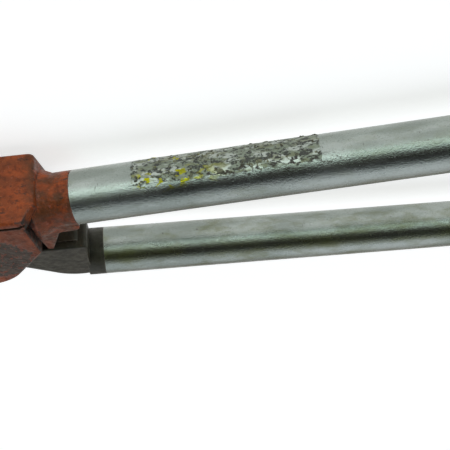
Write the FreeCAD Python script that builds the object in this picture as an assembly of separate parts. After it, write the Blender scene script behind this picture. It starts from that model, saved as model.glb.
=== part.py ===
import FreeCAD, Part
import math
import os

from FreeCAD import Vector

os.makedirs("parts", exist_ok=True)

# Overall layout. +X points from the centre pivot to the jaws, +Z is up, and
# z = 0 is the surface that the closed tool lies on.
MID_Z = 21.0              # height of the plane that the handles swing in
SHOULDER_BACK = 64.0      # centre pivot back to the tube shoulders, along X
SHOULDER_SIDE = 38.7      # tube shoulder out from the middle line
SPLAY = 5.0               # each handle's angle to the middle line, degrees
TUBE_OD = 25.4
TUBE_WALL = 2.6
TUBE_LENGTH = 428.0

# Linkage: tail bolts on the arms, strap bolts in the blades.
TAIL_X = 30.0
TAIL_Y = 39.8
STRAP_X = 66.0
STRAP_Y = 12.5

# Clearances that every fit is made from.
RUN_FIT = 0.05            # shaft in a hole it turns in, on the radius
LOOSE_FIT = 0.75          # strap bolt in the left blade, on the radius
SIDE_GAP = 0.4            # flat faces that pass each other
STOP_GAP = 0.35           # stop faces to the middle line
EDGE_GAP = 0.2            # cutting edges to the middle line

# Thicknesses of the stack, measured along Z.
BLADE_T = 13.0
FORK_T = 34.0
LUG_T = 30.0
SHOULDER_T = 21.0
TIP_T = 20.0
STRAP_T = 6.0

# Round bosses.
FORK_EYE_R = 28.0
TONGUE_EYE_R = 24.0
LUG_R = 15.0
TAIL_R = 13.0
HUB_R = 12.0
STRAP_R = 14.5

# Fasteners: shank radius, hexagon across flats, head and nut height.
PIVOT = {"r": 8.0, "flats": 24.0, "head": 4.0, "nut": 10.0, "washer_r": 15.0, "washer": 2.0}
TAIL = {"r": 5.0, "flats": 17.0, "head": 4.0, "nut": 7.0, "washer_r": 9.5, "washer": 1.6}
STRAP = {"r": 6.0, "flats": 19.0, "head": 5.0, "nut": 8.0, "washer_r": 11.0, "washer": 1.6}
THREAD_OUT = 2.5          # bolt end past its nut

# Grips.
GRIP_START = 288.0        # from the shoulder, along the tube
GRIP_R = 16.4
GRIP_FLANGE_R = 19.0
RIB_PITCH = 8.0
RIB_DEPTH = 1.1
GRIP_CAP = 5.0

BLOCK_X = -42.0           # rear edge of the fork's cheeks
BLOCK_Y = 55.3            # outer face of the fork's block
HEEL_TOP = 9.0            # top of the block's rear end, above the middle plane

TUBE_R = TUBE_OD / 2
WEB_T = TUBE_OD - 0.6
BORE_R = TUBE_R - TUBE_WALL
TANG_LENGTH = 60.0
PASS_Z = BLADE_T / 2 + SIDE_GAP
RELIEF_R = 0.5            # gap around the fork's cheeks
TONGUE_ROOM = FORK_EYE_R + 3 * RELIEF_R
JAW_TIP_X = 118.0
THROAT_X = 85.5
THROAT_R = 6.0
EDGE_LAND = 1.0           # flat left on the cutting edge
BEVEL_SLOPE = 0.55


def belt(discs):
    """Closed outline of a belt around discs (x, y, r), counter-clockwise. A negative r bends inwards."""
    normals = []
    for index, (x1, y1, r1) in enumerate(discs):
        x2, y2, r2 = discs[(index + 1) % len(discs)]
        length = math.hypot(x2 - x1, y2 - y1)
        along = Vector((x2 - x1) / length, (y2 - y1) / length, 0)
        side = Vector(along.y, -along.x, 0)
        sine = (r1 - r2) / length
        normals.append(side * math.sqrt(1 - sine * sine) + along * sine)
    edges = []
    for index, (x, y, r) in enumerate(discs):
        arrive = normals[index - 1]
        leave = normals[index]
        centre = Vector(x, y, 0)
        if abs(r) > 1e-6:
            start = math.atan2(arrive.y, arrive.x)
            turn = (math.atan2(leave.y, leave.x) - start) % (2 * math.pi)
            if r < 0:
                turn -= 2 * math.pi
            middle = Vector(math.cos(start + turn / 2), math.sin(start + turn / 2), 0)
            arc = Part.Arc(centre + arrive * r, centre + middle * r, centre + leave * r)
            edges.append(arc.toShape())
        x2, y2, r2 = discs[(index + 1) % len(discs)]
        first = centre + leave * r
        last = Vector(x2, y2, 0) + leave * r2
        if first.distanceToPoint(last) > 1e-6:
            edges.append(Part.makeLine(first, last))
    return Part.Face(Part.Wire(edges))


def plate(discs, low, high, edge=0.0):
    """Belt outline between two heights about the middle plane, with its rims rounded."""
    face = belt(discs)
    face.translate(Vector(0, 0, MID_Z + low))
    solid = face.extrude(Vector(0, 0, high - low))
    if edge:
        rims = []
        for item in solid.Edges:
            box = item.BoundBox
            if box.ZLength < 1e-6:
                rims.append(item)
        solid = solid.makeFillet(edge, rims)
    return solid


def post(x, y, radius, low, high):
    """Upright cylinder between two heights about the middle plane."""
    return Part.makeCylinder(radius, high - low, Vector(x, y, MID_Z + low))


def ring_point(side):
    return Vector(-SHOULDER_BACK, side * SHOULDER_SIDE, MID_Z)


def tube_dir(side):
    angle = math.radians(SPLAY)
    return Vector(-math.cos(angle), side * math.sin(angle), 0)


def along_tube(solid, side):
    """Take a solid made along +X from the origin onto a handle's axis, starting at its shoulder."""
    turn = FreeCAD.Rotation(Vector(1, 0, 0), tube_dir(side))
    solid.Placement = FreeCAD.Placement(ring_point(side), turn).multiply(solid.Placement)
    return solid


def collar_and_tang(side, length):
    """Round collar that the tube butts on, and the tang that fills the tube's bore."""
    collar = Part.makeCylinder(TUBE_R, length, Vector(-length, 0, 0), Vector(1, 0, 0))
    tang = Part.makeCylinder(BORE_R, TANG_LENGTH + 4.0, Vector(-4.0, 0, 0), Vector(1, 0, 0))
    tang = tang.makeChamfer(1.5, [tang.Edges[0]])
    return along_tube(collar.fuse(tang), side)


def one_solid(shape):
    """Merge split faces and return the single solid."""
    clean = shape.removeSplitter()
    return clean.Solids[0]


def save(shape, node):
    shape.exportStep("parts/" + node + ".step")


# Right arm: a fork whose cheeks hold the left arm's tongue and the right
# blade's tail, with a solid block behind, a stop tooth and the collar.
cheek = [
    (BLOCK_X + 3.0, -BLOCK_Y + 3.0, 3.0),
    (TAIL_X, -TAIL_Y, LUG_R),
    (0.0, 0.0, FORK_EYE_R),
    (BLOCK_X + 3.0, -15.0, 3.0),
]
fork = plate(cheek, -FORK_T / 2, FORK_T / 2, 2.0)
corner = [
    (BLOCK_X - 3.5, -BLOCK_Y + 3.0, 3.0),
    (BLOCK_X + 1.0, -BLOCK_Y + 3.0, 3.0),
    (BLOCK_X + 1.0, -BLOCK_Y + 5.5, 3.0),
    (BLOCK_X - 3.5, -BLOCK_Y + 5.5, 3.0),
]
upper_corner = plate(corner, HEEL_TOP - 3.0, FORK_T / 2 - 0.6)
corner_cut = [
    Vector(BLOCK_X - 5.5, -BLOCK_Y - 5.0, MID_Z + HEEL_TOP - 0.4),
    Vector(BLOCK_X + 0.8, -BLOCK_Y - 5.0, MID_Z + FORK_T / 2 + 1.0),
    Vector(BLOCK_X - 20.0, -BLOCK_Y - 5.0, MID_Z + FORK_T / 2 + 1.0),
    Vector(BLOCK_X - 20.0, -BLOCK_Y - 5.0, MID_Z + HEEL_TOP - 0.4),
]
cut_away = Part.Face(Part.makePolygon(corner_cut + corner_cut[:1])).extrude(Vector(0, 30.0, 0))
fork = fork.fuse(upper_corner.cut(cut_away))
groove = [
    (BLOCK_X - 3.0, -BLOCK_Y + 5.0, 1.2),
    (TAIL_X - 12.0, -BLOCK_Y + 5.0, 1.2),
]
for low in (FORK_T / 2 - 1.6, -FORK_T / 2 - 1.6):
    fork = fork.cut(plate(groove, low, low + 3.2))
heel = [
    (BLOCK_X - 3.5, -BLOCK_Y + 3.0, 3.0),
    (-30.0, -BLOCK_Y + 3.0, 3.0),
    (-30.0, -24.0, 3.0),
    (BLOCK_X - 5.5, -24.0, 3.0),
]
fork = fork.fuse(plate(heel, -FORK_T / 2, HEEL_TOP, 1.5))
tooth = [
    (BLOCK_X - 14.0, -44.0, 3.0),
    (BLOCK_X - 3.0, -44.0, 3.0),
    (BLOCK_X - 1.4, -STOP_GAP - 1.4, 1.4),
    (BLOCK_X - 13.5, -24.5, -3.0),
    (-SHOULDER_BACK + 3.5, -31.0, 3.0),
]
web = plate(tooth, -WEB_T / 2, WEB_T / 2, 0.8)
for face in (-1, 1):
    slopes = (
        ((-30.0, WEB_T / 2), (0.0, TIP_T / 2), (6.0, TIP_T / 2), (6.0, FORK_T), (-30.0, FORK_T)),
        ((-58.0, -1.0), (-37.0, WEB_T / 2 + 0.6), (-37.0, FORK_T), (-70.0, FORK_T), (-70.0, -1.0)),
    )
    for slope in slopes:
        corners = [Vector(-80.0, y, MID_Z + face * z) for y, z in slope]
        wedge = Part.Face(Part.makePolygon(corners + corners[:1]))
        web = web.cut(wedge.extrude(Vector(60.0, 0, 0)))
fork = fork.fuse(web)
fork = fork.fuse(collar_and_tang(-1, 18.0))
flare = Part.makeCone(TUBE_R + 3.6, TUBE_R, 8.0, Vector(-17.5, 0, 0), Vector(1, 0, 0))
fork = fork.fuse(along_tube(flare, -1))
slot_r = TAIL_R + 1.2
tail_slot = [
    (0.0, 0.0, TONGUE_ROOM),
    (TAIL_X, -TAIL_Y, slot_r),
]
tongue_side = [
    (-60.0, 2.0 - STOP_GAP, 2.0),
    (-18.0, 2.0 - STOP_GAP, 2.0),
    (-18.0, 50.0, 2.0),
    (-60.0, 50.0, 2.0),
]
open_front = [
    (TAIL_X, -TAIL_Y, slot_r),
    (TAIL_X, -80.0, slot_r),
    (80.0, -80.0, slot_r),
    (80.0, 0.0, slot_r),
]
for room in (tail_slot, tongue_side, open_front):
    fork = fork.cut(plate(room, -PASS_Z, PASS_Z))
fork = fork.cut(post(0, 0, PIVOT["r"] + RUN_FIT, -FORK_T, FORK_T))
fork = fork.cut(post(TAIL_X, -TAIL_Y, TAIL["r"] + RUN_FIT, -FORK_T, FORK_T))
save(one_solid(fork), "right_arm")

# Left arm: a rounded shoulder and stop pad behind, a thin tongue that turns
# between the fork's cheeks, and a forked lug for the left blade's tail.
shoulder = [
    (-60.0, 18.0, 9.6),
    (-23.0, 18.0, 9.6),
    (-51.0, 27.0, 24.0),
    (-60.0, 40.5, 9.8),
]
behind = [
    (-90.0, -5.0, 0.0),
    (-60.2, -5.0, 0.0),
    (-54.0, 60.0, 0.0),
    (-90.0, 60.0, 0.0),
]
stop_pad = [
    (-58.4, STOP_GAP + 3.2, 2.2),
    (-24.0, STOP_GAP + 2.0, 2.0),
    (-24.0, 19.0, 3.0),
    (-54.0, 24.0, 3.0),
]
tongue = [
    (-54.0, STOP_GAP + 3.0, 3.0),
    (-TONGUE_ROOM, STOP_GAP - 3.0, -3.0),
    (0.0, 0.0, TONGUE_EYE_R),
    (TAIL_X, TAIL_Y, LUG_R),
    (-1.0, 36.0, 8.0),
    (-19.0, 43.0, -11.0),
    (-40.0, 34.0, 9.0),
    (-49.0, 34.0, 4.0),
]
lug = [
    (TAIL_X, TAIL_Y, LUG_R),
    (5.0, 36.0, 8.0),
]
cheek_relief = [(x, y, r + RELIEF_R) for x, y, r in cheek]
left_slot = [
    (TAIL_X, TAIL_Y, slot_r),
    (70.0, -10.0, slot_r),
    (70.0, 70.0, slot_r),
    (TAIL_X, 70.0, slot_r),
]
arm = plate(shoulder, -SHOULDER_T / 2, SHOULDER_T / 2, 9.0)
arm = arm.cut(plate(behind, -SHOULDER_T, SHOULDER_T))
arm = arm.fuse(plate(stop_pad, -SHOULDER_T / 2, SHOULDER_T / 2, 1.0))
front_lug = plate(lug, -LUG_T / 2, LUG_T / 2, 1.5)
front_lug = front_lug.cut(post(0, 0, FORK_EYE_R + 2 * RELIEF_R, -FORK_T, FORK_T))
arm = arm.fuse(front_lug)
arm = arm.cut(plate(cheek_relief, BLADE_T / 2, FORK_T))
arm = arm.cut(plate(cheek_relief, -FORK_T, -BLADE_T / 2))
arm = arm.fuse(plate(tongue, -BLADE_T / 2, BLADE_T / 2))
arm = arm.fuse(collar_and_tang(1, 9.0))
arm = arm.cut(plate(left_slot, -PASS_Z, PASS_Z))
arm = arm.cut(post(0, 0, PIVOT["r"] + RUN_FIT, -FORK_T, FORK_T))
arm = arm.cut(post(TAIL_X, TAIL_Y, TAIL["r"] + RUN_FIT, -FORK_T, FORK_T))
save(one_solid(arm), "left_arm")


# Blades: a flat tail that hangs in the arm's fork, a round hub under the
# straps and a jaw that is ground to an edge from both faces.
def blade(side, hub_hole):
    outline = [
        (TAIL_X, -TAIL_Y, TAIL_R),
        (TAIL_X + 29.0, -TAIL_Y - 7.2, -13.0),
        (91.0, -19.5, 11.5),
        (JAW_TIP_X - 6.5, -9.5, 6.0),
        (JAW_TIP_X - 1.5, -EDGE_GAP - 1.2, 1.2),
        (THROAT_X + THROAT_R + 1.4, -EDGE_GAP - 1.0, 1.0),
        (THROAT_X, EDGE_GAP, -THROAT_R),
        (THROAT_X - THROAT_R - 1.4, -EDGE_GAP - 1.0, 1.0),
        (STRAP_X, -STRAP_Y, HUB_R),
    ]
    body = plate(outline, -BLADE_T / 2, BLADE_T / 2)
    for face in (-1, 1):
        bevel = [
            (2.0, EDGE_LAND / 2 - BEVEL_SLOPE * (2.0 + EDGE_GAP)),
            (-20.0, EDGE_LAND / 2 + BEVEL_SLOPE * (20.0 - EDGE_GAP)),
            (2.0, BLADE_T + 10.0),
        ]
        corners = [Vector(THROAT_X + THROAT_R - 1.5, y, MID_Z + face * z) for y, z in bevel]
        grind = Part.Face(Part.makePolygon(corners + corners[:1]))
        body = body.cut(grind.extrude(Vector(40.0, 0, 0)))
    body = body.cut(post(TAIL_X, -TAIL_Y, TAIL["r"] + RUN_FIT, -BLADE_T, BLADE_T))
    body = body.cut(post(STRAP_X, -STRAP_Y, hub_hole, -BLADE_T, BLADE_T))
    if side > 0:
        body = body.mirror(Vector(0, 0, 0), Vector(0, 1, 0))
    return one_solid(body)


save(blade(-1, STRAP["r"] + RUN_FIT), "right_blade")
save(blade(1, STRAP["r"] + LOOSE_FIT), "left_blade")

# Straps: one plate above and one below, joining the two blade hubs.
strap_outline = [
    (STRAP_X, -STRAP_Y, STRAP_R),
    (STRAP_X, STRAP_Y, STRAP_R),
]
for node, low in (("top_strap", PASS_Z), ("bottom_strap", -PASS_Z - STRAP_T)):
    strap = plate(strap_outline, low, low + STRAP_T, 1.2)
    for side in (-1, 1):
        strap = strap.cut(post(STRAP_X, side * STRAP_Y, STRAP["r"] + RUN_FIT, -FORK_T, FORK_T))
    save(one_solid(strap), node)

# Handle tubes, pushed over the tangs until they butt on the collars.
for side, name in ((-1, "right"), (1, "left")):
    tube = Part.makeCylinder(TUBE_R, TUBE_LENGTH, Vector(0, 0, 0), Vector(1, 0, 0))
    bore = Part.makeCylinder(BORE_R, TUBE_LENGTH, Vector(0, 0, 0), Vector(1, 0, 0))
    save(along_tube(tube.cut(bore), side), name + "_tube")


# Grips: rubber sleeves with a guard flange, ribs and a closed bulb end that
# reaches the resting surface.
def grip():
    start = GRIP_START
    end = TUBE_LENGTH + GRIP_CAP
    bulb = end - 16.0
    rim = [
        (start, TUBE_R),
        (start, GRIP_FLANGE_R - 1.5),
        (start + 1.5, GRIP_FLANGE_R),
        (start + 5.5, GRIP_FLANGE_R),
        (start + 8.0, GRIP_R),
    ]
    rib = start + 16.0
    while rib + RIB_PITCH < bulb - 8.0:
        rim.append((rib, GRIP_R))
        rim.append((rib + 0.8, GRIP_R - RIB_DEPTH))
        rim.append((rib + 2.4, GRIP_R - RIB_DEPTH))
        rim.append((rib + 3.2, GRIP_R))
        rib += RIB_PITCH
    rim += [
        (bulb - 4.0, GRIP_R),
        (bulb + 2.0, MID_Z - 0.8),
        (bulb + 4.0, MID_Z),
        (bulb + 10.0, MID_Z),
        (bulb + 12.0, MID_Z - 0.8),
        (end, MID_Z - 7.0),
        (end, 0.0),
        (TUBE_LENGTH, 0.0),
        (TUBE_LENGTH, TUBE_R),
    ]
    corners = [Vector(x, r, 0) for x, r in rim]
    face = Part.Face(Part.makePolygon(corners + corners[:1]))
    return face.revolve(Vector(0, 0, 0), Vector(1, 0, 0), 360)


for side, name in ((-1, "right"), (1, "left")):
    save(along_tube(grip(), side), name + "_grip")


# Fasteners: hexagon bolts from below, washers and nuts on top.
def hexagon(x, y, flats, low, high, bevel_low, bevel_high):
    corner = flats / math.sqrt(3)
    points = []
    for step in range(7):
        angle = math.radians(60 * step + 30)
        points.append(Vector(x + corner * math.cos(angle), y + corner * math.sin(angle), MID_Z + low))
    prism = Part.Face(Part.makePolygon(points)).extrude(Vector(0, 0, high - low))
    round_bar = post(x, y, corner, low, high)
    for edge in round_bar.Edges:
        box = edge.BoundBox
        at_low = box.ZMax < MID_Z + low + 1e-6
        at_high = box.ZMin > MID_Z + high - 1e-6
        if (at_low and bevel_low) or (at_high and bevel_high):
            slope = corner - flats / 2 * 0.97
            round_bar = round_bar.makeChamfer(slope * 0.6, slope, [edge])
            break
    return prism.common(round_bar)


def fasten(name, x, y, size, stack):
    """Bolt, washer and nut through a stack of the given full thickness."""
    half = stack / 2
    nut_low = half + size["washer"]
    nut_high = nut_low + size["nut"]
    head = hexagon(x, y, size["flats"], -half - size["head"], -half, True, False)
    shank = post(x, y, size["r"], -half, nut_high + THREAD_OUT)
    top = [edge for edge in shank.Edges if edge.BoundBox.ZMin > MID_Z + nut_high]
    shank = shank.makeChamfer(1.0, top)
    save(one_solid(head.fuse(shank)), name + "_bolt")
    washer = post(x, y, size["washer_r"], half, nut_low)
    washer = washer.cut(post(x, y, size["r"] + RUN_FIT, half, nut_low))
    save(washer, name + "_washer")
    nut = hexagon(x, y, size["flats"], nut_low, nut_high, False, True)
    nut = nut.cut(post(x, y, size["r"] + RUN_FIT, nut_low, nut_high))
    save(one_solid(nut), name + "_nut")


strap_stack = 2 * (PASS_Z + STRAP_T)
fasten("pivot", 0, 0, PIVOT, FORK_T)
fasten("right_tail", TAIL_X, -TAIL_Y, TAIL, FORK_T)
fasten("left_tail", TAIL_X, TAIL_Y, TAIL, LUG_T)
fasten("right_strap", STRAP_X, -STRAP_Y, STRAP, strap_stack)
fasten("left_strap", STRAP_X, STRAP_Y, STRAP, strap_stack)
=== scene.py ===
import math

import bpy
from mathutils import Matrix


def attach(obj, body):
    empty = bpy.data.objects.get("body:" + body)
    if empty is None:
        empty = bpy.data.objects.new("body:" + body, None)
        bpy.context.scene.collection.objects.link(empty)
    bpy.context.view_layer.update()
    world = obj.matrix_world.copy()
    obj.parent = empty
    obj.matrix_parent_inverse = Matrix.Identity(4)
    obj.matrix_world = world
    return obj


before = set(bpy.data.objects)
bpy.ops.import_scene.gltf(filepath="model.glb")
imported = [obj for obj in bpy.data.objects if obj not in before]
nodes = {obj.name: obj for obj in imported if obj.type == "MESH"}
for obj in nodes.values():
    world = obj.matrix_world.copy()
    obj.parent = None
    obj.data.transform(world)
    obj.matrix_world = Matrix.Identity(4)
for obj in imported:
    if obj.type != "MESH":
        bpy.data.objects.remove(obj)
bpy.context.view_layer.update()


# Handle tubes: drawn steel tubes pushed over the arms' tangs. Their dull zinc
# plating is cloudy and spangled, with drawing lines, knocks and olive stains.
# The helpers that every section shares are defined here, at the first pieces.
def linear(code):
    """A #RRGGBB colour as linear RGBA."""
    values = []
    for place in (1, 3, 5):
        part = int(code[place:place + 2], 16) / 255
        values.append(part / 12.92 if part <= 0.04045 else ((part + 0.055) / 1.055) ** 2.4)
    return (*values, 1.0)


def node_adder(tree):
    """The function that adds a node to a tree: values fill its inputs in order, names set what they name."""
    tree.nodes.clear()

    def add(kind, *values, **named):
        node = tree.nodes.new("ShaderNode" + kind)
        settings = {key: value for key, value in named.items() if hasattr(node, key)}
        for key, value in settings.items():
            setattr(node, key, value)
        pairs = list(zip([socket for socket in node.inputs if socket.enabled], values))
        pairs += [(node.inputs[key.replace("_", " ")], named[key]) for key in named if key not in settings]
        for socket, value in pairs:
            if isinstance(value, bpy.types.Node):
                value = next(output for output in value.outputs if output.enabled)
            if isinstance(value, bpy.types.NodeSocket):
                tree.links.new(value, socket)
            else:
                socket.default_value = linear(value) if isinstance(value, str) else value
        return node

    return add


def material(name):
    """A new empty material, and the function that adds a node to it."""
    made = bpy.data.materials.new(name)
    made.use_nodes = True
    return made, node_adder(made.node_tree)


# Settings for a change of value that eases in and out, and for a mix of two
# colours; and a millimetre, in metres.
EASED = {"interpolation_type": "SMOOTHSTEP"}
COLOURS = {"data_type": "RGBA"}
MM = 0.001


def place(add, size=(1.0, 1.0, 1.0), turn=0.0, start=(0.0, 0.0, 0.0)):
    """Object coordinates from a start point, turned about Z and counted in steps of size millimetres."""
    scale = tuple(step * MM for step in size)
    return add("Mapping", add("TexCoord").outputs["Object"], vector_type="TEXTURE", Location=start,
               Rotation=(0.0, 0.0, turn), Scale=scale)


def bumps(add, *layers):
    """Bump layers (height, millimetres) over each other."""
    normal = None
    for height, depth in layers:
        under = {"Normal": normal} if normal else {}
        normal = add("Bump", Height=height, Distance=depth * MM, Strength=1.0, **under)
    return normal


def surface(add, colour, rough, metal, normal, **more):
    """The finished surface: colour, gloss, metal and relief, joined to the material's output."""
    shader = add("BsdfPrincipled", Base_Color=colour, Roughness=rough, Metallic=metal, Normal=normal, **more)
    add("OutputMaterial", shader)


def edges(add, radius):
    """1 on edges and corners, 0 on flat faces: how far a rounded normal leans from the real one."""
    soft = add("Bevel", samples=6, Radius=radius * MM)
    real = add("NewGeometry").outputs["Normal"]
    same = add("VectorMath", soft, real, operation="DOT_PRODUCT")
    return add("MapRange", same, 0.99, 0.8, **EASED)


def hollows(add, reach):
    """1 in corners and gaps, 0 in the open, by ambient occlusion."""
    open_air = add("AmbientOcclusion", samples=6, Distance=reach * MM).outputs["AO"]
    return add("MapRange", open_air, 0.75, 0.25, **EASED)


def wear(made, *names):
    """Give CAD nodes a material."""
    for name in names:
        nodes[name].data.materials.clear()
        nodes[name].data.materials.append(made)


PIVOT_Z = 21.0
SHOULDER = (-0.064, 0.0387, PIVOT_Z * MM)
SPLAY = math.radians(5.0)
TUBE_R = 12.7


def tube_place(add, side, size=(1.0, 1.0, 1.0)):
    """Coordinates along a handle: u back from the shoulder, v to the tool's right, w up."""
    start = (SHOULDER[0], side * SHOULDER[1], SHOULDER[2])
    return place(add, size, math.pi - side * SPLAY, start)


def window(add, value, low, high, fade):
    """1 between low and high, with faded ends."""
    rise = add("MapRange", value, low - fade, low + fade, **EASED)
    fall = add("MapRange", value, high + fade, high - fade, **EASED)
    return add("Math", rise, fall, operation="MULTIPLY")


LABEL_START, LABEL_END = 29.0, 113.0
LABEL_LOW, LABEL_HIGH = math.radians(-105.0), math.radians(19.0)

for side, name in ((-1, "right_tube"), (1, "left_tube")):
    made, add = material(name + "_zinc")
    here = tube_place(add, side)
    cloud = add("TexNoise", tube_place(add, side, (34.0, 9.0, 9.0)), Scale=1.0, Detail=4.0, Roughness=0.5)
    spangle = add("TexNoise", tube_place(add, side, (1.0, 0.7, 0.7)), Scale=1.0, Detail=3.0, Roughness=0.6)
    grain = add("TexNoise", tube_place(add, side, (0.35, 0.35, 0.35)), Scale=1.0, Detail=2.0, Roughness=0.6)
    lines = add("TexNoise", tube_place(add, side, (60.0, 0.5, 0.5)), Scale=1.0, Detail=2.0, Roughness=0.5)
    # Cloudy zinc: cool light grey with greener, duller patches.
    colour = add("Mix", add("MapRange", cloud, 0.35, 0.65, **EASED), "#8E968F", "#A8AFA9", **COLOURS)
    colour = add("Mix", add("MapRange", spangle, 0.5, 0.75, 0.0, 0.45, **EASED), colour, "#6F756E",
                 **COLOURS)
    colour = add("Mix", add("MapRange", grain, 0.62, 0.72, 0.0, 0.30, **EASED), colour, "#D0D6D0",
                 **COLOURS)
    # Old olive and brown stains, dull where they sit.
    blot = add("TexNoise", tube_place(add, side, (16.0, 7.0, 7.0)), Scale=1.0, Detail=6.0, Roughness=0.65)
    stain = add("MapRange", blot, 0.42 if side > 0 else 0.48, 0.72, 0.0, 0.55 if side > 0 else 0.25,
                **EASED)
    colour = add("Mix", stain, colour, "#676A3C", **COLOURS)
    # Rust freckles and knocks: small dark brown pits in the plating.
    pit = add("TexNoise", tube_place(add, side, (3.2, 2.2, 2.2)), Scale=1.0, Detail=4.0, Roughness=0.7)
    freckle = add("MapRange", pit, 0.67, 0.74, **EASED)
    colour = add("Mix", freckle, colour, "#3E3328", **COLOURS)
    # Scratches: thin slanting nicks through the plating.
    nick = add("TexNoise", place(add, (14.0, 0.5, 5.0), math.radians(40.0)), Scale=1.0, Detail=2.0,
               Roughness=0.5)
    scratch = add("MapRange", nick, 0.71, 0.76, **EASED)
    colour = add("Mix", add("Math", scratch, 0.6, operation="MULTIPLY"), colour, "#5A5A52", **COLOURS)
    dull = add("Math", add("Math", stain, 0.3, operation="MULTIPLY"), freckle, operation="MAXIMUM")
    rough = add("Math", add("MapRange", cloud, 0.3, 0.7, 0.22, 0.29, **EASED),
                add("Math", dull, 0.25, operation="MULTIPLY"), operation="ADD")
    metal = add("MapRange", dull, 0.0, 1.0, 1.0, 0.35, **EASED)
    sunken = add("Math", dull, -1.0, operation="MULTIPLY")
    layers = [(spangle, 0.14), (grain, 0.035), (lines, 0.012), (sunken, 0.03)]
    parts = add("SeparateXYZ", Vector=here)
    around = add("Math", parts.outputs[2], parts.outputs[1], operation="ARCTAN2")
    if side > 0:
        # A dried oil film along the left tube's upper inner flank.
        flank = window(add, around, math.radians(22.0), math.radians(52.0), 0.22)
        film = add("Math", flank, add("MapRange", cloud, 0.35, 0.60, 0.25, 0.75, **EASED),
                   operation="MULTIPLY")
        colour = add("Mix", film, colour, "#66692F", **COLOURS)
    else:
        # Where the label was: a scraped grey film, silvery where it is clear,
        # peppered with black dirt and a few yellow flecks of print.
        ragged = add("TexNoise", tube_place(add, side, (3.0, 3.0, 3.0)), Scale=1.0, Detail=4.0,
                     Roughness=0.6)
        shift = add("Math", ragged, 0.5, operation="SUBTRACT")
        along = add("Math", parts.outputs[0], add("Math", shift, 6.0, operation="MULTIPLY"),
                    operation="ADD")
        around = add("Math", around, add("Math", shift, 0.5, operation="MULTIPLY"), operation="ADD")
        film = add("Math", window(add, along, LABEL_START, LABEL_END, 0.5),
                   window(add, around, LABEL_LOW, LABEL_HIGH, 0.04), operation="MULTIPLY")
        dirt = add("TexNoise", tube_place(add, side, (2.6, 1.5, 1.5)), Scale=1.0, Detail=5.0,
                   Roughness=0.72)
        speck = add("MapRange", dirt, 0.50, 0.56, **EASED)
        gaps = add("TexNoise", tube_place(add, side, (11.0, 4.0, 4.0)), Scale=1.0, Detail=3.0,
                   Roughness=0.5)
        clear = add("MapRange", gaps, 0.48, 0.56, **EASED)
        residue = add("Mix", clear, "#7B8372", "#ADB4AB", **COLOURS)
        oil = add("TexNoise", tube_place(add, side, (6.0, 3.0, 3.0)), Scale=1.0, Detail=3.0,
                  Roughness=0.5)
        olive = add("MapRange", oil, 0.50, 0.60, 0.0, 0.6, **EASED)
        residue = add("Mix", olive, residue, "#63653C", **COLOURS)
        residue = add("Mix", speck, residue, "#25241C", **COLOURS)
        fleck = add("TexNoise", tube_place(add, side, (4.5, 2.8, 2.8)), Scale=1.0, Detail=2.0,
                    Roughness=0.5)
        near_start = add("MapRange", parts.outputs[0], 76.0, 50.0, **EASED)
        facing_side = window(add, around, math.radians(-8.0), math.radians(30.0), 0.12)
        started = add("MapRange", parts.outputs[0], 28.0, 34.0, **EASED)
        yellow = add("Math", add("Math", near_start, started, operation="MULTIPLY"), facing_side,
                     operation="MULTIPLY")
        yellow = add("Math", add("MapRange", fleck, 0.54, 0.58, **EASED), yellow, operation="MULTIPLY")
        colour = add("Mix", add("Math", film, 0.9, operation="MULTIPLY"), colour, residue, **COLOURS)
        colour = add("Mix", yellow, colour, "#9C9A0C", **COLOURS)
        # Dirt rubbed out past the label's upper edge.
        spill = add("Math", window(add, along, LABEL_START + 20.0, LABEL_END + 12.0, 8.0),
                    window(add, around, math.radians(5.0), math.radians(32.0), 0.15), operation="MULTIPLY")
        spill = add("Math", spill, add("MapRange", dirt, 0.50, 0.62, **EASED), operation="MULTIPLY")
        colour = add("Mix", add("Math", spill, 0.8, operation="MULTIPLY"), colour, "#3A3129", **COLOURS)
        matte = add("Math", film,
                    add("Math", speck, add("MapRange", clear, 0.0, 1.0, 0.6, 0.08, **EASED),
                        operation="MAXIMUM"), operation="MULTIPLY")
        rough = add("Math", rough, add("Math", matte, 0.3, operation="MULTIPLY"), operation="ADD")
        metal = add("Math", metal, add("MapRange", matte, 0.0, 1.0, 1.0, 0.2, **EASED),
                    operation="MULTIPLY")
        layers.append((add("Math", speck, film, operation="MULTIPLY"), 0.12))
    surface(add, colour, rough, metal, bumps(add, *layers))
    wear(made, name)

# Label glue: what is left of a stuck-on label, a brittle crust of old glue
# and dirt in raised crumbs on the right tube's lower half. A strip spun
# about the tube's axis and displaced, so only its lumps stand clear.
CRUST_STEPS = 110
CRUST_R = TUBE_R - 0.40
CRUST_WALL = 0.25
bpy.ops.object.select_all(action="DESELECT")
bpy.ops.mesh.primitive_plane_add(size=LABEL_END - LABEL_START)
crust = bpy.context.object
crust.name = "label_glue"
bpy.ops.object.mode_set(mode="EDIT")
bpy.ops.mesh.select_all(action="SELECT")
bpy.ops.mesh.merge(type="COLLAPSE")
bpy.ops.mesh.select_all(action="SELECT")
bpy.ops.transform.translate(value=((LABEL_START - LABEL_END) / 2, 0, 0))
bpy.ops.mesh.extrude_region_move(TRANSFORM_OT_translate={"value": (LABEL_END - LABEL_START, 0, 0)})
bpy.ops.mesh.select_all(action="SELECT")
bpy.ops.mesh.subdivide(number_cuts=99)
bpy.ops.mesh.subdivide(number_cuts=2)
bpy.ops.mesh.select_all(action="SELECT")
bpy.ops.transform.translate(value=((LABEL_START + LABEL_END) / 2, CRUST_R, 0))
bpy.ops.transform.rotate(value=-LABEL_LOW, orient_axis="X", center_override=(0, 0, 0))
bpy.ops.mesh.spin(steps=CRUST_STEPS, angle=LABEL_LOW - LABEL_HIGH, center=(0, 0, 0), axis=(1, 0, 0))
bpy.ops.mesh.select_all(action="SELECT")
bpy.ops.mesh.remove_doubles(threshold=0.0001)
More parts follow.
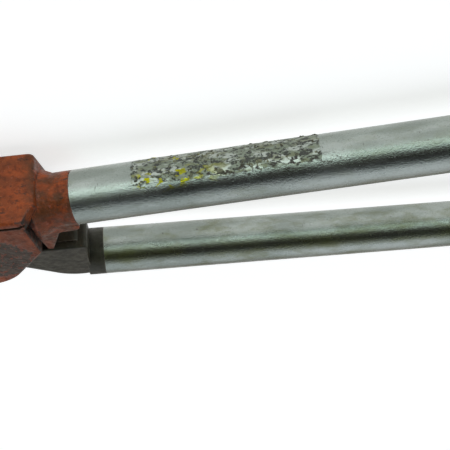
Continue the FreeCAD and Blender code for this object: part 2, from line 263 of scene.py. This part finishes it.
bpy.ops.mesh.normals_make_consistent(inside=False)
bpy.ops.object.mode_set(mode="OBJECT")
solid = crust.modifiers.new("thickness", "SOLIDIFY")
solid.thickness = CRUST_WALL
solid.offset = -1.0
bpy.ops.object.modifier_apply(modifier="thickness")
for title, size, height in (("islands", 4.5, 1.4), ("lumps", 1.6, 1.5), ("crumbs", 0.6, 0.6)):
    pattern = bpy.data.textures.new(title, "CLOUDS")
    pattern.noise_scale = size
    pattern.noise_depth = 2
    push = crust.modifiers.new(title, "DISPLACE")
    push.texture = pattern
    push.texture_coords = "LOCAL"
    push.mid_level = 0.5
    push.strength = height
    bpy.ops.object.modifier_apply(modifier=title)
bpy.ops.object.select_all(action="DESELECT")
crust.select_set(True)
bpy.context.view_layer.objects.active = crust
crust.scale = (MM, MM, MM)
crust.rotation_euler = (0, 0, math.pi + SPLAY)
crust.location = (SHOULDER[0], -SHOULDER[1], SHOULDER[2])
bpy.ops.object.transform_apply(location=True, rotation=True, scale=True)
bpy.ops.object.shade_smooth()
made, add = material("old_label_glue")
crumb = add("TexNoise", place(add, (0.8, 0.8, 0.8)), Scale=1.0, Detail=4.0, Roughness=0.7)
patch = add("TexNoise", place(add, (3.0, 3.0, 3.0)), Scale=1.0, Detail=3.0, Roughness=0.6)
colour = add("Mix", add("MapRange", patch, 0.42, 0.60, **EASED), "#34331F", "#6B6C52", **COLOURS)
colour = add("Mix", add("MapRange", crumb, 0.55, 0.66, 0.0, 0.8, **EASED), colour, "#17160F", **COLOURS)
print_flecks = add("TexNoise", tube_place(add, -1, (4.5, 2.8, 2.8)), Scale=1.0, Detail=2.0, Roughness=0.5)
parts = add("SeparateXYZ", Vector=tube_place(add, -1))
yellow = add("Math", add("MapRange", print_flecks, 0.57, 0.60, **EASED),
             add("MapRange", parts.outputs[0], 66.0, 44.0, **EASED), operation="MULTIPLY")
colour = add("Mix", yellow, colour, "#A09E10", **COLOURS)
surface(add, colour, add("MapRange", crumb, 0.3, 0.7, 0.35, 0.75, **EASED), 0.0, bumps(add, (crumb, 0.12)))
crust.data.materials.append(made)
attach(crust, "right_handle")

# Right arm: a heavy fork casting in worn orange enamel over rough forged
# steel. Chips and rubbed rims show bare metal with a pink primer edge, and
# black grease with painted shade fills the corners; grease and a painted
# shadow darken the wall behind the fork's cheeks.
made, add = material("worn_orange_enamel")
fine = add("TexNoise", place(add, (0.9, 0.9, 0.9)), Scale=1.0, Detail=4.0, Roughness=0.6)
skin = add("TexNoise", place(add, (2.6, 5.0, 2.6)), Scale=1.0, Detail=4.0, Roughness=0.55)
broad = add("TexNoise", place(add, (17.0, 20.0, 9.0)), Scale=1.0, Detail=4.0, Roughness=0.6)
colour = add("Mix", add("MapRange", broad, 0.32, 0.68, **EASED), "#763410", "#9C4516", **COLOURS)
colour = add("Mix", add("MapRange", fine, 0.58, 0.72, 0.0, 0.55, **EASED), colour, "#A85E36", **COLOURS)
colour = add("Mix", add("MapRange", skin, 0.50, 0.66, 0.0, 0.7, **EASED), colour, "#57260F", **COLOURS)
# Brown oil film, thickest on the collar and the tooth.
oil = add("TexNoise", place(add, (8.0, 10.0, 6.0)), Scale=1.0, Detail=5.0, Roughness=0.65)
parts = add("SeparateXYZ", Vector=place(add))
behind = add("MapRange", parts.outputs[0], -40.0, -50.0, **EASED)
film = add("Math", add("MapRange", oil, 0.36, 0.60, **EASED),
           add("MapRange", behind, 0.0, 1.0, 0.25, 0.9, **EASED), operation="MULTIPLY")
colour = add("Mix", film, colour, "#4E2C12", **COLOURS)
smear = add("TexNoise", place(add, (7.0, 2.2, 2.2), math.radians(-12.0)), Scale=1.0, Detail=5.0,
            Roughness=0.7)
dark = add("MapRange", smear, 0.60, 0.66, **EASED)
colour = add("Mix", add("Math", dark, 0.85, operation="MULTIPLY"), colour, "#241D16", **COLOURS)
# Chips: rims first, then scattered spots; a primer line runs round each.
chip = add("TexNoise", place(add, (2.4, 5.0, 2.4)), Scale=1.0, Detail=5.0, Roughness=0.65)
rims = add("Math", edges(add, 2.6), 0.26, operation="MULTIPLY")
worn = add("Math", chip, rims, operation="ADD")
# The fork's cheeks are rubbed bare around the pivot, top and bottom.
RUBBED_AT = (-0.018, -0.012, PIVOT_Z * MM)
CHEEK_FACE = 16.2
reach = add("VectorMath", place(add, (21.0, 30.0, 1000.0), 0.0, RUBBED_AT), operation="LENGTH")
off_middle = add("Math", parts.outputs[2], PIVOT_Z, operation="SUBTRACT")
faces = add("Math", add("Math", off_middle, operation="ABSOLUTE"), CHEEK_FACE, operation="GREATER_THAN")
rubbed = add("Math", add("Math", add("MapRange", reach, 1.15, 0.75, **EASED), faces, operation="MULTIPLY"),
             0.30, operation="MULTIPLY")
worn = add("Math", worn, rubbed, operation="ADD")
colour = add("Mix", add("MapRange", worn, 0.62, 0.67, **EASED), colour, "#8A4B38", **COLOURS)
bare = add("MapRange", worn, 0.70, 0.74, **EASED)
mottle = add("TexNoise", place(add, (5.0, 5.0, 5.0)), Scale=1.0, Detail=4.0, Roughness=0.5)
steel = add("Mix", add("MapRange", mottle, 0.4, 0.6, **EASED), "#4B3C31", "#392C23", **COLOURS)
colour = add("Mix", bare, colour, steel, **COLOURS)
# Grease and painted shade: black in the corners, by ambient occlusion, and
# grease with a painted shadow on the wall behind the cheeks.
facing = add("SeparateXYZ", Vector=add("TexCoord").outputs["Normal"])
wall = add("Math", add("MapRange", facing.outputs[0], -0.5, -0.8, **EASED),
           add("Math", window(add, parts.outputs[0], -44.0, -36.0, 1.0),
               add("MapRange", parts.outputs[2], 27.0, 31.0, **EASED), operation="MULTIPLY"),
           operation="MULTIPLY")
grime_and_shade = add("Math", hollows(add, 7.0), wall, operation="MAXIMUM")
patches = add("TexNoise", place(add, (3.0, 3.0, 3.0)), Scale=1.0, Detail=4.0, Roughness=0.7)
patchy = add("MapRange", patches, 0.30, 0.55, 0.45, 1.0, **EASED)
grease_and_shade = add("Math", grime_and_shade, patchy, operation="MULTIPLY")
colour = add("Mix", grease_and_shade, colour, "#23211C", **COLOURS)
rough = add("Math", add("MapRange", skin, 0.3, 0.7, 0.40, 0.62, **EASED),
            add("Math", film, 0.14, operation="MULTIPLY"), operation="SUBTRACT")
rough = add("Math", rough, add("MapRange", bare, 0.0, 1.0, 1.0, 0.85, **EASED), operation="MULTIPLY")
metal = add("Math", bare, 0.35, operation="MULTIPLY")
normal = bumps(add, (broad, 1.0), (skin, 0.8), (fine, 0.18),
               (add("Math", bare, -1.0, operation="MULTIPLY"), 0.15), (grease_and_shade, 0.25))
surface(add, colour, rough, metal, normal, Specular_IOR_Level=0.25)
wear(made, "right_arm")

# Left arm: the same forging without its paint, oily and nearly black-olive,
# with brown varnish and dry grey rims.
made, add = material("oily_forging")
scale_skin = add("TexNoise", place(add, (3.4, 3.4, 3.4)), Scale=1.0, Detail=5.0, Roughness=0.6)
fine = add("TexNoise", place(add, (0.8, 0.8, 0.8)), Scale=1.0, Detail=4.0, Roughness=0.6)
broad = add("TexNoise", place(add, (13.0, 10.0, 8.0)), Scale=1.0, Detail=4.0, Roughness=0.6)
colour = add("Mix", add("MapRange", broad, 0.35, 0.65, **EASED), "#2B2A1C", "#3A382A", **COLOURS)
colour = add("Mix", add("MapRange", scale_skin, 0.52, 0.68, 0.0, 0.7, **EASED), colour, "#25231A",
             **COLOURS)
colour = add("Mix", add("MapRange", fine, 0.60, 0.72, 0.0, 0.5, **EASED), colour, "#5A564E", **COLOURS)
specks = add("TexNoise", place(add, (6.0, 5.0, 5.0)), Scale=1.0, Detail=6.0, Roughness=0.7)
rust = add("MapRange", specks, 0.60, 0.70, 0.0, 0.7, **EASED)
colour = add("Mix", rust, colour, "#5E3A24", **COLOURS)
lifted = add("Math", edges(add, 1.2), 0.35, operation="MULTIPLY")
rims = add("MapRange", add("Math", scale_skin, lifted, operation="ADD"), 0.72, 0.80, **EASED)
colour = add("Mix", add("Math", rims, 0.8, operation="MULTIPLY"), colour, "#807B70", **COLOURS)
# Grease and painted shade: near-black in the hollows, by ambient occlusion.
grease_and_shade = add("Math", hollows(add, 8.0), add("MapRange", fine, 0.3, 0.6, 0.6, 1.0, **EASED),
             operation="MULTIPLY")
colour = add("Mix", grease_and_shade, colour, "#1B1A13", **COLOURS)
rough = add("Math", add("MapRange", scale_skin, 0.3, 0.7, 0.34, 0.56, **EASED),
            add("Math", rust, 0.2, operation="MULTIPLY"), operation="ADD")
surface(add, colour, rough, add("MapRange", rims, 0.0, 1.0, 0.15, 0.7, **EASED),
        bumps(add, (broad, 0.5), (scale_skin, 0.40), (fine, 0.10), (grease_and_shade, 0.2)), Specular_IOR_Level=0.35)
wear(made, "left_arm")

# Blades: hardened steel with a blue-black heat scale, scuffed on the rims,
# and jaws ground bright, with the grinding lines across the cutting edge.
made, add = material("hardened_blade_steel")
scale_skin = add("TexNoise", place(add, (4.0, 4.0, 4.0)), Scale=1.0, Detail=5.0, Roughness=0.6)
fine = add("TexNoise", place(add, (0.7, 0.7, 0.7)), Scale=1.0, Detail=3.0, Roughness=0.6)
colour = add("Mix", add("MapRange", scale_skin, 0.35, 0.65, **EASED), "#2A2A29", "#403F3E", **COLOURS)
colour = add("Mix", add("MapRange", fine, 0.62, 0.72, 0.0, 0.4, **EASED), colour, "#6B6A68", **COLOURS)
lifted = add("Math", edges(add, 0.9), 0.35, operation="MULTIPLY")
rims = add("MapRange", add("Math", scale_skin, lifted, operation="ADD"), 0.70, 0.78, **EASED)
colour = add("Mix", rims, colour, "#9A9892", **COLOURS)
facing = add("SeparateXYZ", Vector=add("TexCoord").outputs["Normal"])
tilt = window(add, add("Math", facing.outputs[2], operation="ABSOLUTE"), 0.30, 0.97, 0.02)
lean = add("MapRange", add("Math", facing.outputs[1], operation="ABSOLUTE"), 0.30, 0.34, **EASED)
parts = add("SeparateXYZ", Vector=place(add))
ground = add("Math", add("Math", tilt, lean, operation="MULTIPLY"),
             add("MapRange", parts.outputs[0], 88.0, 89.0, **EASED), operation="MULTIPLY")
middle = add("Math", parts.outputs[1], operation="ABSOLUTE")
cutting = add("Math", add("MapRange", middle, 0.9, 0.6, **EASED),
              add("MapRange", parts.outputs[0], 90.0, 91.0, **EASED), operation="MULTIPLY")
ground = add("Math", ground, cutting, operation="MAXIMUM")
lines = add("TexNoise", place(add, (0.30, 30.0, 30.0)), Scale=1.0, Detail=2.0, Roughness=0.5)
bright = add("Mix", add("MapRange", lines, 0.35, 0.65, **EASED), "#A3A3A0", "#C6C6C3", **COLOURS)
bright = add("Mix", add("MapRange", scale_skin, 0.60, 0.72, 0.0, 0.6, **EASED), bright, "#6F5A44",
             **COLOURS)
colour = add("Mix", ground, colour, bright, **COLOURS)
# Grease and painted shade: near-black in the hollows, by ambient occlusion.
grease_and_shade = hollows(add, 6.0)
colour = add("Mix", grease_and_shade, colour, "#1A1916", **COLOURS)
rough = add("Mix", ground, (0.45, 0.45, 0.45, 1.0), (0.24, 0.24, 0.24, 1.0), **COLOURS)
metal = add("Math", add("MapRange", rims, 0.0, 1.0, 0.45, 0.9, **EASED), ground, operation="MAXIMUM")
surface(add, colour, rough, metal,
        bumps(add, (scale_skin, 0.20), (fine, 0.05),
              (add("Math", lines, ground, operation="MULTIPLY"), 0.006)))
wear(made, "right_blade", "left_blade")

# Straps: flat plates with a grey-black phosphate coat, polished along the
# rims, ring-marked by the turning washers and speckled with brown rust.
made, add = material("phosphated_strap")
fine = add("TexNoise", place(add, (0.6, 0.6, 0.6)), Scale=1.0, Detail=4.0, Roughness=0.6)
cloud = add("TexNoise", place(add, (9.0, 9.0, 9.0)), Scale=1.0, Detail=4.0, Roughness=0.6)
colour = add("Mix", add("MapRange", cloud, 0.35, 0.65, **EASED), "#3A3B39", "#53534D", **COLOURS)
colour = add("Mix", add("MapRange", fine, 0.58, 0.72, 0.0, 0.5, **EASED), colour, "#2A2A28", **COLOURS)
specks = add("TexNoise", place(add, (2.5, 2.5, 2.5)), Scale=1.0, Detail=5.0, Roughness=0.7)
spots = add("MapRange", specks, 0.63, 0.71, 0.0, 0.8, **EASED)
colour = add("Mix", spots, colour, "#5D4029", **COLOURS)
lifted = add("Math", edges(add, 0.9), 0.35, operation="MULTIPLY")
rims = add("MapRange", add("Math", cloud, lifted, operation="ADD"), 0.68, 0.78, **EASED)
STRAP_X, STRAP_Y = 0.066, 0.0125
WASHER_RING = (10.9, 12.4)
NO_HEIGHT = 1000000.0
for y in (-STRAP_Y, STRAP_Y):
    far = add("VectorMath", place(add, (1.0, 1.0, NO_HEIGHT), 0.0, (STRAP_X, y, 0.0)), operation="LENGTH")
    ring = window(add, far, *WASHER_RING, 0.4)
    broken = add("MapRange", fine, 0.4, 0.6, 0.3, 0.9, **EASED)
    rims = add("Math", rims, add("Math", ring, broken, operation="MULTIPLY"), operation="MAXIMUM")
colour = add("Mix", rims, colour, "#A19E96", **COLOURS)
# Painted shade: near-black in the hollows, by ambient occlusion.
colour = add("Mix", hollows(add, 4.0), colour, "#1D1B17", **COLOURS)
surface(add, colour, add("MapRange", fine, 0.3, 0.7, 0.42, 0.62, **EASED),
        add("MapRange", rims, 0.0, 1.0, 0.4, 0.95, **EASED),
        bumps(add, (cloud, 0.10), (fine, 0.05), (spots, 0.08)))
wear(made, "top_strap", "bottom_strap")

# Bolts, nuts and washers: zinc-plated fasteners, slightly yellow, with
# spanner-rubbed corners, white bloom, and grease with painted shade where
# they meet the tool.
# The bolts' ends carry a thread, as rings at each bolt's own pitch, with
# painted shade in its roots.
THREADS = {"pivot": 2.0, "tail": 1.5, "strap": 1.75}
THREAD_FROM = 38.0
for family, pitch in THREADS.items():
    for threaded in (True, False):
        made, add = material(family + ("_thread_zinc" if threaded else "_zinc"))
        fine = add("TexNoise", place(add, (0.5, 0.5, 0.5)), Scale=1.0, Detail=4.0, Roughness=0.6)
        cloud = add("TexNoise", place(add, (4.0, 4.0, 4.0)), Scale=1.0, Detail=4.0, Roughness=0.6)
        colour = add("Mix", add("MapRange", cloud, 0.35, 0.65, **EASED), "#A29F8E", "#BEBCB2", **COLOURS)
        specks = add("TexNoise", place(add, (2.2, 2.2, 2.2)), Scale=1.0, Detail=5.0, Roughness=0.7)
        bloom = add("MapRange", specks, 0.60, 0.68, 0.0, 0.6, **EASED)
        colour = add("Mix", bloom, colour, "#86827A", **COLOURS)
        lifted = add("Math", edges(add, 0.6), 0.4, operation="MULTIPLY")
        rims = add("MapRange", add("Math", cloud, lifted, operation="ADD"), 0.70, 0.80, **EASED)
        colour = add("Mix", rims, colour, "#DAD9D4", **COLOURS)
        # Grease and painted shade: dark in the hollows, by ambient occlusion.
        grime_and_shade = hollows(add, 3.5)
        colour = add("Mix", grime_and_shade, colour, "#25221B", **COLOURS)
        rough = add("Math", add("MapRange", fine, 0.3, 0.7, 0.26, 0.40, **EASED),
                    add("Math", bloom, 0.3, operation="MULTIPLY"), operation="ADD")
        metal = add("MapRange", add("Math", bloom, grime_and_shade, operation="MAXIMUM"), 0.0, 1.0, 1.0, 0.3, **EASED)
        layers = [(cloud, 0.04), (fine, 0.03)]
        if threaded:
            height = add("SeparateXYZ", Vector=place(add)).outputs[2]
            ridge = add("Math", add("Math", height, pitch, operation="DIVIDE"), 0.5, operation="PINGPONG")
            side_face = add("SeparateXYZ", Vector=add("TexCoord").outputs["Normal"]).outputs[2]
            side_face = add("MapRange", add("Math", side_face, operation="ABSOLUTE"), 0.5, 0.2, **EASED)
            shank = add("Math", side_face, add("MapRange", height, THREAD_FROM, THREAD_FROM + 0.5, **EASED),
                        operation="MULTIPLY")
            thread = add("Math", ridge, shank, operation="MULTIPLY")
            # Painted shade: the thread's roots are coloured dark.
            root_shade = add("Math", add("MapRange", ridge, 0.16, 0.0, **EASED), shank, operation="MULTIPLY")
            colour = add("Mix", root_shade, colour, "#3A362C", **COLOURS)
            layers.append((thread, 1.2))
        surface(add, colour, rough, metal, bumps(add, *layers))
        for name in nodes:
            kind = name.split("_")[-1]
            if family in name and kind in (("bolt",) if threaded else ("washer", "nut")):
                wear(made, name)

# Grips: moulded black rubber sleeves, greyed by dust and hand wear on the
# ribs and flanges, with a fine grain and a faint mould line each side.
for side, name in ((-1, "right_grip"), (1, "left_grip")):
    made, add = material(name + "_rubber")
    parts = add("SeparateXYZ", Vector=tube_place(add, side))
    pebble = add("TexNoise", place(add, (0.7, 0.7, 0.7)), Scale=1.0, Detail=3.0, Roughness=0.6)
    cloud = add("TexNoise", tube_place(add, side, (28.0, 11.0, 11.0)), Scale=1.0, Detail=5.0,
                Roughness=0.65)
    colour = add("Mix", add("MapRange", cloud, 0.35, 0.65, **EASED), "#191918", "#302F2D", **COLOURS)
    colour = add("Mix", add("MapRange", pebble, 0.52, 0.68, 0.0, 0.7, **EASED), colour, "#45433F",
                 **COLOURS)
    lifted = add("Math", edges(add, 1.0), 0.30, operation="MULTIPLY")
    scuff = add("MapRange", add("Math", cloud, lifted, operation="ADD"), 0.62, 0.76, **EASED)
    colour = add("Mix", add("Math", scuff, 0.65, operation="MULTIPLY"), colour, "#7A776F", **COLOURS)
    dust = hollows(add, 3.0)
    colour = add("Mix", add("Math", dust, 0.8, operation="MULTIPLY"), colour, "#5E5545", **COLOURS)
    paint = add("TexNoise", tube_place(add, side, (5.0, 3.0, 3.0)), Scale=1.0, Detail=4.0, Roughness=0.6)
    colour = add("Mix", add("MapRange", paint, 0.72, 0.75, 0.0, 0.8, **EASED), colour, "#8C4A2C", **COLOURS)
    mould = window(add, parts.outputs[2], -0.25, 0.25, 0.12)
    rough = add("Math", add("MapRange", pebble, 0.3, 0.7, 0.50, 0.66, **EASED),
                add("Math", scuff, 0.15, operation="MULTIPLY"), operation="ADD")
    surface(add, colour, rough, 0.0, bumps(add, (cloud, 0.4), (pebble, 0.30), (mould, 0.35)),
            Specular_IOR_Level=0.4)
    wear(made, name)

# Floor: a plain pale sheet, far larger than the tool, that glows a little so
# that the tool stands on near-white with only a faint shadow.
bpy.ops.object.select_all(action="DESELECT")
FLOOR_SIZE = 24.0
FLOOR_GLOW = 0.72
bpy.ops.mesh.primitive_plane_add(size=FLOOR_SIZE, location=(0, 0, 0))
floor = bpy.context.object
floor.name = "floor"
made, add = material("pale_floor")
glow = {"Emission_Color": "#FDFEFE", "Emission_Strength": FLOOR_GLOW}
add("OutputMaterial", add("BsdfPrincipled", Base_Color="#C8C8C6", Roughness=0.9, **glow))
floor.data.materials.append(made)

# Light: a studio surround. It is pale at the horizon, has a dark screen over
# the camera's side that draws the round tubes' dark stripe, and opens to
# soft grey overhead and behind.
world = bpy.data.worlds.new("surround")
bpy.context.scene.world = world
world.use_nodes = True
SKY_STRENGTH = 2.3
add = node_adder(world.node_tree)
way = add("SeparateXYZ", add("TexCoord").outputs["Generated"])
forward = add("Math", way.outputs["Y"], -1.0, operation="MULTIPLY")
climb = add("Math", way.outputs["Z"], forward, operation="ARCTAN2")
bands = add("ValToRGB", add("Math", climb, math.pi, operation="DIVIDE"))
stops = (
    (0.0, (0.86, 1.0, 0.96)),
    (0.080, (0.78, 0.92, 0.88)),
    (0.125, (0.20, 0.21, 0.20)),
    (0.180, (0.030, 0.027, 0.024)),
    (0.40, (0.012, 0.013, 0.015)),
    (0.46, (0.18, 0.19, 0.20)),
    (0.52, (0.38, 0.395, 0.42)),
    (0.74, (0.38, 0.395, 0.42)),
    (0.86, (0.135, 0.122, 0.105)),
    (0.95, (0.135, 0.122, 0.105)),
    (1.0, (0.32, 0.33, 0.33)),
)
while len(bands.color_ramp.elements) < len(stops):
    bands.color_ramp.elements.new(0.5)
for element, (spot, value) in zip(bands.color_ramp.elements, stops):
    element.position = spot
    element.color = (*value, 1.0)
add("OutputWorld", add("Background", bands, SKY_STRENGTH))

# Camera: close over the near handle, looking across the tool at a grazing
# angle and rolled half a turn, so the jaws are at the left.
camera_data = bpy.data.cameras.new("camera")
camera_data.lens = 68.0
camera_data.sensor_width = 36.0
camera = bpy.data.objects.new("camera", camera_data)
bpy.context.scene.collection.objects.link(camera)
camera.location = (-0.1333, -0.3988, 0.1746)
camera.rotation_euler = (math.radians(-69.729), math.radians(-5.568), math.radians(177.552))
bpy.context.scene.camera = camera
bpy.context.scene.view_settings.view_transform = "Standard"
